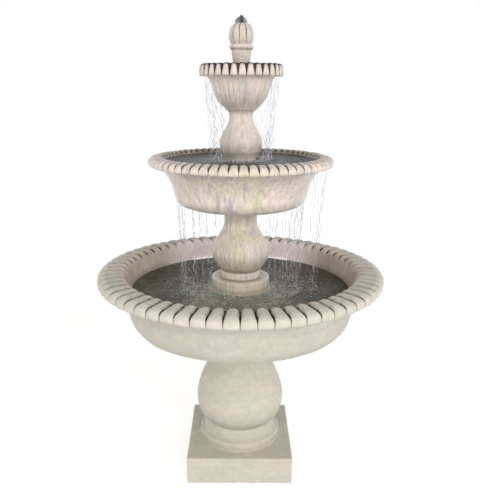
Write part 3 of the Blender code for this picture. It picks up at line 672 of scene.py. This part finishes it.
def columns():
    peg = PEG - 2 * GAP
    foot = [(0.0765, 0.0003), (0.0805, 0.0006), (0.0828, 0.004), (0.0832, 0.012), (0.0826, 0.0205)]
    bulb = [
        (0.0762, 0.029), (0.0815, 0.0345), (0.0955, 0.049), (0.1095, 0.073), (0.1153, 0.1), (0.1116, 0.122),
        (0.1031, 0.146), (0.0871, 0.175), (0.0725, 0.199), (0.0655, 0.225), (0.0662, 0.25), (0.072, 0.2887),
    ]
    low = [(LOWER_BORE, -PEG_DEPTH + 2 * GAP), (peg, -PEG_DEPTH + 2 * GAP), (peg, GAP), (0.0765, GAP)]
    high = [(peg, 0.2887), (peg, 0.2944), (LOWER_BORE, 0.2944)]
    foot = flow(foot + [(0.079, 0.026)], 0.002)
    curve = np.vstack([straight(low, 0.02), foot, flow(bulb, 0.004)[1:], straight(high, 0.02)])
    # Darker just above the foot ring: dirt and painted shade where the bulb meets the ring.
    stains = stained(curve, [(0.025, 0), (0.028, 0.7), (0.034, 0.52), (0.052, 0.32), (0.08, 0)])
    turned_casting("lower_column", STONE_SPLASHED, curve, LOWER, 256, stains)
    # Painted highlights: small white drops set where the wet columns glint.
    drops = plain_finish("white_glint_drops", rgb(248, 248, 244), 0.12, grain=0.01)
    glint_spots = [
        (-0.061, 0.118, 4), (-0.038, 0.11, 5), (0.044, 0.134, 4), (0.057, 0.116, 3), (-0.052, 0.135, 3),
        (-0.035, 0.014, 4), (-0.021, 0.013, 4), (-0.003, 0.014, 3), (0.031, 0.013, 4), (0.024, 0.09, 3),
    ]
    place_glint_drops("lower_glint_drops", "low_column", drops, curve, LOWER, glint_spots, 79)
    side = [
        (0.078, 0.0), (0.078, 0.0217), (0.064, 0.0547), (0.057, 0.1047), (0.056, 0.1397), (0.0635, 0.1657),
        (0.077, 0.1877), (0.083, 0.2157), (0.08, 0.2337), (0.0695, 0.2577), (0.0542, 0.2832),
        (0.0473, 0.3017), (0.0458, 0.3157), (0.0475, 0.3282), (0.053, 0.3394),
    ]
    low, high = [(UPPER_BORE, 0.0), side[0]], [(peg, 0.3394), (peg, 0.3451), (UPPER_BORE, 0.3451)]
    curve = np.vstack([straight(low, 0.02), flow(side, 0.004)[1:], straight(high, 0.02)])
    stains = stained(curve, [(0.015, 0.6), (0.032, 0.25), (0.05, 0), (0.325, 0), (0.337, 0.45)])
    turned_casting("upper_column", STONE_UPPER, curve, UPPER, 224, stains)
    glint_spots = [
        (-0.021, 0.3, 3), (-0.022, 0.205, 4), (0.028, 0.202, 5), (0.034, 0.212, 3), (-0.034, 0.215, 3),
        (0.012, 0.192, 3), (0.006, 0.262, 2),
    ]
    place_glint_drops("upper_glint_drops", "high_column", drops, curve, UPPER, glint_spots, 83)


def place_glint_drops(name, body, finish, curve, foot, places, seed):
    """White drops on a column's front, painted highlights where the wet stone glints. places holds
    (distance across, height, drops) for each group.
    """
    outer = curve[int(np.argmax(curve[:, 0] > PEG + 0.001)) :]
    levels = np.maximum.accumulate(outer[:, 1])
    spots = []
    for across, height, count in places:
        reach = np.interp(height, levels, outer[:, 0])
        spots.append((across, -((reach**2 - across**2) ** 0.5), foot + height, 0.0018, count, 0.003))
    foam(name, body, finish, spots, seed, 1.6)


def pump_housing():
    drum, cap, inner, step, ceiling, top = 0.1263, 0.1184, 0.1, 0.1252, 0.1397, LOWER - HOUSING
    edge, cove, socket = 0.004, 0.0015, top - PEG_DEPTH
    curve = np.vstack(
        [
            straight([(inner, 0.0), (drum, 0.0), (drum, step - edge)], 0.01),
            rounded_corner(drum, step, edge),
            straight([(drum - edge, step), (cap + cove, step), (cap, step + cove), (cap, top - edge)], 0.006),
            rounded_corner(cap, top, edge),
            straight([(cap - edge, top), (PEG, top), (PEG, socket), (LOWER_BORE, socket)], 0.012),
            straight([(LOWER_BORE, ceiling), (inner, ceiling)], 0.02),
        ]
    )
    places = share(curve)
    first = int(np.argmax(curve[:, 1] > top - 1e-6))
    inmost = first + int(np.argmin(np.abs(curve[first:, 0] - PEG)))
    brink = places[first]
    # The cap's top darkens towards the column: dirt and painted shade where the column stands on it.
    stains = [(0.0, 0.0), (brink + 0.006, 0.0), (brink + 0.03, 0.48), (places[inmost], 0.62), (1.0, 0.0)]
    reach = drum + 0.02
    ends = (((-reach, 0), (reach, 0)), ((0, -reach), (0, reach)))
    inlets = [arch_cutter(0.05, 0.052, HOUSING, *pair) for pair in ends]
    turned_casting("pump_housing", STONE_SPLASHED, curve, HOUSING, 256, stains, 0.0005, inlets)


def rounded_corner(radius, height, edge):
    """A quarter round from the side (radius) over to the top (height)."""
    return np.array(
        [(radius - edge + edge * cos(a), height - edge + edge * sin(a)) for a in np.linspace(0, pi / 2, 6)]
    )


def square_reach(angles, half, corner):
    """How far a square with rounded corners reaches from its centre in each direction."""
    c, s = np.abs(np.cos(angles)), np.abs(np.sin(angles))
    flat = half / np.maximum(c, s)
    inner = half - corner
    along = (c + s) * inner
    arc = along + np.sqrt(np.maximum(along**2 - (2 * inner**2 - corner**2), 0))
    return np.where(np.minimum(c, s) * flat > inner, arc, flat)


def pedestal():
    columns = 512
    angles = even_angles(columns)
    angles = angles + 0.15 * np.sin(4 * angles)  # crowds the columns towards the plinth's corners
    top, bore, edge = 0.115, 0.078, 0.0045

    def square_row(inset, height):
        reach = square_reach(angles, PLINTH_HALF - inset, max(0.008 - inset, 0.002))
        return np.stack([reach * np.cos(angles), reach * np.sin(angles), np.full(columns, height)], axis=-1)

    rings = [square_row(0.1, 0.0), square_row(0.03, 0.0)]
    rings += [square_row(edge - edge * cos(a), edge + edge * sin(a)) for a in np.linspace(-pi / 2, 0, 5)]
    rings += [square_row(0.0, height) for height in np.linspace(edge, top - edge, 14)[1:-1]]
    rings += [square_row(edge - edge * cos(a), top - edge + edge * sin(a)) for a in np.linspace(0, pi / 2, 6)]
    rings += [square_row(inset, top) for inset in (0.01, 0.018, 0.026, 0.034)]
    skirt = [(0.176, top), (0.1727, top + 0.0008), (0.1703, top + 0.0032), (0.17, top + 0.008)]
    ring = [(0.17, top + 0.008), (0.1707, 0.13), (0.1705, 0.144), (0.169, 0.1505), (0.165, 0.1535)]
    cove = [(0.165, 0.1535), (0.155, 0.159), (0.145, 0.176), (0.1395, 0.1975)]
    bulb = [
        (0.1395, 0.199), (0.145, 0.203), (0.152, 0.208), (0.17, 0.236), (0.1795, 0.267), (0.183, 0.3),
        (0.18, 0.332), (0.171, 0.366), (0.1578, 0.402), (0.1427, 0.435), (0.13, 0.468), (0.12, 0.515),
        (0.121, 0.57), (0.138, PEDESTAL_TOP),
    ]
    inner = straight([(bore, PEDESTAL_TOP), (bore, 0.0)], 0.08)
    curve = np.vstack([flow(skirt, 0.002), flow(ring, 0.003)[1:], flow(cove, 0.004)[1:]])
    curve = np.vstack([curve, flow(bulb, 0.006)[1:], inner])
    rings = np.concatenate([np.array(rings), round_rings(curve, angles)])
    mesh = ring_mesh(rings, True)
    uneven(mesh, 0.1, 0.0016, 4.0)
    uneven(mesh, 0.016, 0.0005, 8.0)
    for point in mesh.vertices:
        point.co.z = max(point.co.z, 0.0)
    notch = arch_cutter(0.014, 0.009, 0.0, (0, -PLINTH_HALF - 0.02), (0, -0.05))
    stand_in("pedestal", carved(mesh, notch), STONE)


def finial():
    lobes = 10
    foot = [(0.043, 0.0), (0.043, 0.0247), (0.0355, 0.0597), (0.0313, 0.1147), (0.0312, 0.1397)]
    cup = [(0.0312, 0.1397), (0.0346, 0.1637), (0.0374, 0.1862)]
    torus = [
        (0.0376, 0.1872), (0.042, 0.1905), (0.0453, 0.196), (0.0455, 0.201), (0.0425, 0.206),
        (0.0385, 0.2085),
    ]
    head = [
        (0.0385, 0.2088), (0.044, 0.218), (0.0465, 0.232), (0.0468, 0.244), (0.0445, 0.257), (0.039, 0.269),
        (0.03, 0.278), (0.018, 0.283), (0.0065, FINIAL_TOP - FINIAL),
    ]
    head_curve = flow(head, 0.0025)
    torus_curve = flow(torus, 0.002)
    inner = straight([(0.0065, 0.26), (0.0065, 0.0717), (0.0225, 0.0577), (0.0225, 0.0)], 0.03)
    seat = straight([(0.0225, 0.0), (0.043, 0.0)], 0.01)
    low = np.vstack([seat, flow(foot, 0.005)[1:], flow(cup, 0.004)[1:]])
    curve = np.vstack([low, torus_curve, head_curve, inner])
    angles, across, _ = bead_angles(lobes, -pi / 2 - radians(12.5), np.random.default_rng(5), 0.03)
    rings = round_rings(curve + np.array([0, FINIAL]), angles)
    groove = np.zeros(rings.shape[:2])
    nearest = np.minimum(across, 1 - across)
    keys = [0, 0.1, 0.35, 0.65, 0.85, 0.95, 1]
    depths = [0.003, 0.005, 0.0058, 0.0058, 0.0044, 0.0012, 0]
    stains = [0.7, 0.6, 0.75, 0.95, 1, 1, 0.6]
    start = len(low) + len(torus_curve)
    for i, place in enumerate(share(head_curve)):
        radius = head_curve[i][0]
        pitch = 2 * pi * radius / lobes
        sink = loaf(nearest * pitch, pitch / 2, 0.0006)
        factor = 1 - np.interp(place, keys, depths) * sink / max(radius, 0.02)
        rings[start + i, :, :2] *= factor[:, None]
        groove[start + i] = np.maximum(0.38, sink * np.interp(place, keys, stains))
    for i, place in enumerate(share(torus_curve)):
        lump = 0.0011 * sin(pi * place) * np.cos(lobes * (angles + 0.3))
        rings[len(low) + i, :, :2] *= (1 + lump / torus_curve[i][0])[:, None]
    mesh = ring_mesh(rings, True, groove=groove)
    uneven(mesh, 0.03, 0.0012, 2.0)
    uneven(mesh, 0.009, 0.0006, 6.0)
    stand_in("finial", mesh, STONE_UPPER)


# ------------ water
def pool(name, body, level, radius, finish, splashes, amount, seed, columns=300):
    """A rippled water surface: rings run out from each splash, over a slow swell."""
    rng = np.random.default_rng(seed)
    rows = ceil(radius / 0.0045)
    angles = even_angles(columns)
    curve = np.array([(radius * (i + 0.001) / rows, level) for i in range(rows + 1)])
    rings = round_rings(curve, angles)
    x, y = rings[..., 0], rings[..., 1]
    lift = np.zeros(x.shape)
    for spot_x, spot_y in splashes:
        away = np.hypot(x - spot_x, y - spot_y)
        wave = rng.uniform(0.018, 0.03)
        crest = rng.uniform(0.6, 1.0) * np.cos(2 * pi * away / wave + rng.uniform(0, 6))
        lift += crest * np.exp(-away / 0.055)
    for _ in range(14):
        heading, wave = rng.uniform(0, 2 * pi), rng.uniform(0.03, 0.09)
        along = x * cos(heading) + y * sin(heading)
        lift += 0.1 * np.sin(2 * pi * along / wave + rng.uniform(0, 6))
    edge = np.clip((radius - np.hypot(x, y)) / 0.03, 0, 1)
    rings[..., 2] += amount * lift * (0.3 + 0.7 * edge)
    bottom = round_rings(np.array([(curve[-1, 0], level - 0.004), (0.0, level - 0.004)]), angles)
    mesh = ring_mesh(np.concatenate([rings, bottom])[::-1], False)
    weld(mesh)
    placed(name, mesh, body, finish, 80)


def strands(name, body, finish, falls, seed, sway_scale):
    """Threads of falling water, one closed mesh. falls holds (angle, radius at the top, radius at the foot,
    top, foot, thickness) for each thread."""
    rng = np.random.default_rng(seed)
    sides = 6
    points, faces = [], []
    for angle, top_radius, foot_radius, top, foot, thick in falls:
        count = max(12, int((top - foot) / 0.006))
        start = len(points)
        wobble = rng.uniform(0.6, 1.6, 3) * 0.0022 * sway_scale
        phases, rates = rng.uniform(0, 6, 6), rng.uniform(14, 46, 3)
        for i in range(count):
            t = i / (count - 1)
            height = top + (foot - top) * t
            reach = top_radius + (foot_radius - top_radius) * t**0.85
            run = t * (top - foot) * 3
            x, y = (
                middle + sum(wobble[k] * t**0.6 * sin(rates[k] * run + phases[k + first]) for k in range(3))
                for middle, first in zip(polar(reach, angle), (0, 3))
            )
            swell = 0.75 + 0.45 * noise.noise(Vector((angle * 9, height * 55, seed)))
            size = thick * swell * min(1.0, 0.35 + t * 6, 0.4 + (1 - t) * 8)
            points += [(x + size * cos(turn), y + size * sin(turn), height) for turn in even_angles(sides)]
        for i in range(count - 1):
            for side in range(sides):
                a, b = start + i * sides + side, start + i * sides + (side + 1) % sides
                faces.append((b, a, a + sides, b + sides))
        faces += [range(start, start + sides), range(len(points) - 1, len(points) - 1 - sides, -1)]
    placed(name, faced(points, faces), body, finish, 180)


def foam(name, body, finish, spots, seed, scale=1.0, clear=0.0):
    """Flecks of white water: many small flattened drops, one mesh. spots holds (x, y, z, spread, count,
    splash) for each group, splash being how high its drops fly. No drop is nearer the axis than clear."""
    rng = np.random.default_rng(seed)
    bm = bmesh.new()
    bmesh.ops.create_icosphere(bm, subdivisions=1, radius=1.0)
    drop = np.array([corner.co for corner in bm.verts])
    drop_faces = np.array([[corner.index for corner in face.verts] for face in bm.faces])
    bm.free()
    points, faces = [], []
    for x, y, z, spread, count, splash in spots:
        for _ in range(count):
            away = abs(rng.normal(0, spread))
            turn, spin = rng.uniform(0, 2 * pi, 2)
            size = scale * rng.uniform(0.0006, 0.002)
            shape = drop * (size * rng.uniform(1, 1.8), size, size * rng.uniform(0.5, 1.0))
            turned = shape @ np.array([[cos(spin), sin(spin), 0], [-sin(spin), cos(spin), 0], [0, 0, 1]])
            lift = splash * rng.uniform(0, 1) ** 2
            spot = np.array([x + away * cos(turn), y + away * sin(turn)])
            spot *= max(1.0, clear / np.hypot(*spot))
            faces.append(drop_faces + len(points) * len(drop))
            points.append(turned + (*spot, z + lift))
    mesh = faced(np.concatenate(points).tolist(), np.concatenate(faces).tolist())
    placed(name, mesh, body, finish, 180)


def spout_bell(finish):
    """The low bell of water that the nozzle throws, deeper on one side."""
    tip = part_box("spout_nozzle")[1].z
    outline = [
        (0.0044, -0.004), (0.0085, -0.0042), (0.014, -0.007), (0.019, -0.012), (0.0222, -0.018),
        (0.0236, -0.025),
    ]
    outline = flow(outline, 0.0015)
    thick, angles = 0.0007, even_angles(72)
    skin = np.vstack([outline, (outline - thick)[::-1]])
    rings = round_rings(skin + np.array([0, tip]), angles)
    ragged = 0.035 * np.sin(5 * angles) + 0.02 * np.sin(11 * angles + 1)
    lean = 1 + 0.1 * np.cos(angles - radians(200)) + ragged
    fall = np.clip((tip - rings[..., 2]) / 0.02, 0, 1)
    rings[..., :2] *= (1 + (lean - 1) * fall)[..., None]
    placed("spout_water", ring_mesh(rings, True), "spout", finish, 80)


def water():
    stirred_main, stirred_middle = rgb(124, 123, 102), rgb(104, 100, 98)
    olive = pool_water("water_main", rgb(82, 81, 64), rgb(42, 42, 32), 70.0, 0.2, 0.3, stirred_main)
    slate = pool_water("water_middle", rgb(92, 89, 94), rgb(42, 40, 44), 90.0, 0.04, 0.17, stirred_middle)
    upper_threads = falling_water("water_threads_top", rgb(214, 213, 226), TOP - 0.1, TOP + 0.11, 1.35)
    lower_threads = falling_water(
        "water_threads_middle", rgb(208, 207, 216), MAIN_LEVEL + 0.05, MAIN_LEVEL + 0.18, 0.5
    )
    dark = falling_water("water_spout", rgb(120, 120, 132))
    white = plain_finish("water_foam", rgb(206, 208, 202), 0.25, grain=0.02)
    rng = np.random.default_rng(3)

    def fall(angle, near, far, inward, top, level):
        """A thread's angle, its radius at the top and at the foot, and its two heights."""
        start = rng.uniform(near, far)
        return angle, start, start - rng.uniform(*inward), top, level - 0.01

    top_falls = []
    for angle in sideways(40, rng, 36):
        thread = fall(angle, 0.134, 0.15, (0.022, 0.046), TOP + 0.1265, MIDDLE_LEVEL)
        top_falls.append((*thread, rng.uniform(0.0009, 0.0018)))
    strands("top_strands", "high_bowl", upper_threads, top_falls, 31, 1.8)

    body_falls = []
    for angle in sideways(62, rng, 20):
        thread = fall(angle, 0.236, 0.256, (0.008, 0.03), MIDDLE + 0.024, MAIN_LEVEL)
        body_falls.append((*thread, rng.uniform(0.001, 0.002)))
    for i in range(7):
        angle = radians(-26 + 8.5 * i + rng.uniform(-2, 2))
        thread = fall(angle, 0.33, 0.34, (0.025, 0.045), MIDDLE + 0.165, MAIN_LEVEL)
        body_falls.append((*thread, 0.0015))
    strands("middle_strands", "mid_bowl", lower_threads, body_falls, 47, 1.2)

    landing = [polar(thread[2], thread[0]) for thread in body_falls]
    pool("main_water", "basin", MAIN_LEVEL, 0.446, olive, landing[::2], 0.0012, 5, 420)
    upper_landing = [polar(thread[2], thread[0]) for thread in top_falls]
    pool("middle_water", "mid_bowl", MIDDLE_LEVEL, 0.303, slate, upper_landing[::2], 0.0009, 6)
    pool("top_water", "high_bowl", TOP_LEVEL, 0.1262, slate, [(0.05, 0.0), (-0.04, 0.03)], 0.0006, 7, 160)

    spots = [(*spot, MAIN_LEVEL, 0.02, 12, 0.004) for spot in landing]
    spots += [(*polar(0.131, angle), MAIN_LEVEL, 0.009, 22, 0.005) for angle in even_angles(36)]
    for _ in range(150):
        spot = polar(rng.uniform(0.15, 0.31), rng.uniform(-pi, pi))
        spots.append((*spot, MAIN_LEVEL, 0.022, 10, 0.003))
    splashes = [(-0.19, -0.1), (-0.15, -0.125), (-0.215, -0.06), (0.205, -0.105), (0.15, -0.135)]
    spots += [(*spot, MAIN_LEVEL, 0.017, 70, 0.016) for spot in splashes + [(0.235, -0.055)]]
    foam("main_foam", "basin", white, spots, 71, clear=0.1295)
    # Painted highlight: glowing white flecks along the far waterline.
    far_side = np.linspace(radians(60), radians(120), 70)
    highlight_glow_settings = {"Emission_Color": (1.0, 1.0, 1.0, 1.0), "Emission_Strength": 0.25}
    edge_highlight_finish = plain_finish("painted_waterline_glow", rgb(252, 250, 250), 0.12, grain=0.01, **highlight_glow_settings)
    brim = MAIN_LEVEL + 0.002
    spots = [(*polar(0.439, angle), brim, 0.0018, 12, 0.003) for angle in far_side]
    foam("main_waterline_highlight", "basin", edge_highlight_finish, spots, 89, 2.0)
    spots = [(*spot, MIDDLE_LEVEL, 0.014, 12, 0.004) for spot in upper_landing]
    spots += [(*polar(0.081, angle), MIDDLE_LEVEL, 0.009, 26, 0.011) for angle in even_angles(26)]
    foam("middle_foam", "mid_bowl", white, spots, 73, clear=0.0875)
    spout_bell(dark)


def sideways(count, rng, clear):
    """Angles all round, uneven, but none within clear degrees of straight ahead."""
    angles = [2 * pi * (i + rng.uniform(-0.45, 0.45)) / count for i in range(count)]
    return [angle for angle in angles if abs((angle - 1.5 * pi + pi) % (2 * pi) - pi) > radians(clear)]


# ------------ plumbing and pump
def fine_tube(node, finish):
    """A CAD tube made again with a round section and softened ends."""
    low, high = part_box(node)
    outer = high.x
    inner = min(round(Vector((v.co.x, v.co.y)).length, 5) for v in frame["nodes"][node].data.vertices)
    edge = (outer - inner) * 0.3
    foot = [(inner, low.z + edge), (inner + edge, low.z), (outer - edge, low.z), (outer, low.z + edge)]
    head = [(outer, high.z - edge), (outer - edge, high.z), (inner + edge, high.z), (inner, high.z - edge)]
    mesh = ring_mesh(round_rings(np.array(foot + head), even_angles(48)), True)
    stand_in(node, mesh, finish, 30, "_fine")


def plumbing():
    looks = {
        "rubber": plain_finish("rubber", rgb(38, 38, 38), 0.62, relief=0.0003),
        "black_plastic": plain_finish("black_plastic", rgb(28, 28, 30), 0.42),
        "copper": plain_finish("copper", rgb(205, 140, 100), 0.34, metallic=1.0, grain=0.1, size=60.0),
        "steel": plain_finish("steel", rgb(190, 192, 196), 0.28, metallic=1.0, size=200.0),
        "hose": plain_finish("hose", rgb(198, 206, 202), 0.3, grain=0.03, Transmission_Weight=0.4),
        "ceramic": plain_finish("ceramic", rgb(236, 234, 226), 0.25, grain=0.02),
        "ferrite": plain_finish("ferrite", rgb(62, 62, 66), 0.5, relief=0.0003),
        "stone": STONE,
        "stone_upper": STONE_UPPER,
    }
    slots = {}
    for name, obj in frame["nodes"].items():
        slots[name] = obj.data.materials[0].name.split(".")[0]
        obj.data.materials.clear()
        obj.data.materials.append(looks[slots[name]])
        obj.data.set_sharp_from_angle(angle=radians(35))
    tubes = ["supply_hose", "middle_riser_tube", "upper_hose", "top_riser_tube", "coupling_hose"]
    for node in tubes + ["finial_tube"]:
        fine_tube(node, looks[slots[node]])


# ------------ stage
def stage():
    floor_outline = np.array([(0.001, 0.0), (60.0, 0.0)])
    floor = linked("floor", ring_mesh(round_rings(floor_outline, even_angles(96)), False))
    tree = Tree("floor")
    tree.set(Base_Color=rgb(248, 248, 247), Roughness=1.0, Specular_IOR_Level=0.0)
    tree.set(Emission_Color=(1.0, 1.0, 1.0, 1.0), Emission_Strength=FLOOR_GLOW)
    floor.data.materials.append(tree.material)

    world = bpy.data.worlds.new("studio")
    bpy.context.scene.world = world
    world.use_nodes = True
    nodes, links = world.node_tree.nodes, world.node_tree.links
    sky = nodes.new("ShaderNodeSeparateXYZ")
    links.new(nodes.new("ShaderNodeTexCoord").outputs["Generated"], sky.inputs[0])
    fade = nodes.new("ShaderNodeMapRange")
    fade.interpolation_type = "SMOOTHSTEP"
    links.new(sky.outputs["Z"], fade.inputs["Value"])
    for name, number in (("From Min", 0.2), ("From Max", 0.75), ("To Min", 1.0), ("To Max", ZENITH)):
        fade.inputs[name].default_value = number
    links.new(fade.outputs["Result"], nodes["Background"].inputs["Strength"])
    nodes["Background"].inputs["Color"].default_value = (1.0, 1.0, 1.0, 1.0)

    sun = bpy.data.lights.new("key", "SUN")
    sun.energy = KEY_POWER
    sun.angle = radians(30)
    linked("key", sun).rotation_euler = Vector((1.9, -2.6, 1.0)).to_track_quat("Z", "Y").to_euler()
    for number, place in enumerate(((-0.55, -2.5, 2.2), (0.75, -2.6, 2.0))):
        soft = bpy.data.lights.new(f"lamp_{number}", "AREA")
        soft.size = 0.15
        soft.energy = LAMP_POWER
        lamp = linked(f"lamp_{number}", soft)
        lamp.location = place
        lamp.rotation_euler = (Vector(place) - Vector((0, 0, 1.1))).to_track_quat("Z", "Y").to_euler()

    camera = bpy.data.cameras.new("camera")
    camera.lens = LENS
    camera.sensor_width = 36.0
    eye = linked("camera", camera)
    tilt = Matrix.Rotation(pi / 2 - EYE_PITCH, 4, "X") @ Matrix.Rotation(EYE_ROLL, 4, "Z")
    eye.matrix_world = Matrix.Translation(EYE) @ tilt
    bpy.context.scene.camera = eye
    bpy.context.scene.view_settings.view_transform = "Standard"


plumbing()
pedestal()
main_basin()
pump_housing()
columns()
middle_bowl()
top_bowl()
finial()
water()
stage()
